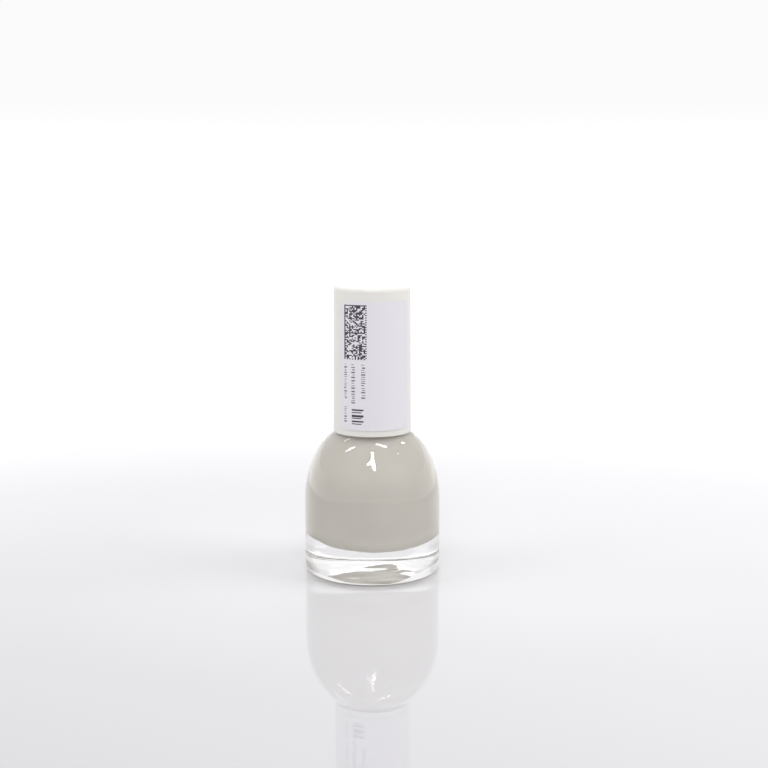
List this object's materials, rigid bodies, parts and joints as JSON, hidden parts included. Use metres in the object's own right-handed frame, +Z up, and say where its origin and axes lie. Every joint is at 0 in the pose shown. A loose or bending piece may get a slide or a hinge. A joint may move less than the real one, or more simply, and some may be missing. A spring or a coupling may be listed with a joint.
{
  "type": "nail polish bottle",
  "caption": "Clear glass nail polish bottle with a dome shoulder and thick base, filled with pale grey lacquer, under a tall off-white screw cap that carries the brush and a paper label.",
  "frame": {"origin": "centre of the base, on the surface it stands on", "axes": "+Z up along the bottle's axis, towards the cap's top; the label faces -Y, with +X to the right as seen from the front"},
  "size_m": [0.03, 0.03, 0.0631],
  "materials": {
    "clear_glass": "clear, fire-polished",
    "grey_lacquer": "opaque warm light grey cream lacquer, wet",
    "ball_steel": "polished stainless steel",
    "cap_plastic": "off-white moulded plastic, satin",
    "insert_plastic": "natural white moulded plastic",
    "seal_plastic": "soft natural polyethylene",
    "stem_plastic": "white moulded plastic",
    "bristle_nylon": "black nylon bristles",
    "anchor_brass": "plain brass strip",
    "label_paper": "smooth white label paper, printed in dark ink",
    "antenna_foil": "etched foil",
    "chip_silicon": "dark bare chip"
  },
  "bodies": {
    "bottle": {"glass_bottle": "clear_glass", "lacquer_fill": "grey_lacquer"},
    "seal": {"seal_washer": "seal_plastic"},
    "cap": {"outer_cap": "cap_plastic", "inner_cap": "insert_plastic", "brush_stem": "stem_plastic", "bristle_tuft": "bristle_nylon", "bristle_staple": "anchor_brass", "cap_label": "label_paper", "label_antenna": "antenna_foil", "label_chip": "chip_silicon"},
    "balls": {"mixing_balls": "ball_steel"}
  },
  "joints": [
    {"name": "cap_lift", "type": "slide", "parent": "bottle", "child": "seal", "axis": [0, 0, 1], "range_m": [0, 0.0382]},
    {"name": "cap_turn", "type": "hinge", "parent": "seal", "child": "cap", "pos_m": [0, 0, 0.04], "axis": [0, 0, 1], "range_deg": [0, 6480]},
    {"name": "ball_roll", "type": "hinge", "parent": "bottle", "child": "balls", "pos_m": [0, 0, 0.00855], "axis": [0, 0, 1], "continuous": true}
  ],
  "couplings": [
    {"joint": "cap_lift", "follows": "cap_turn", "m_per_rad": 0.00033688}
  ]
}
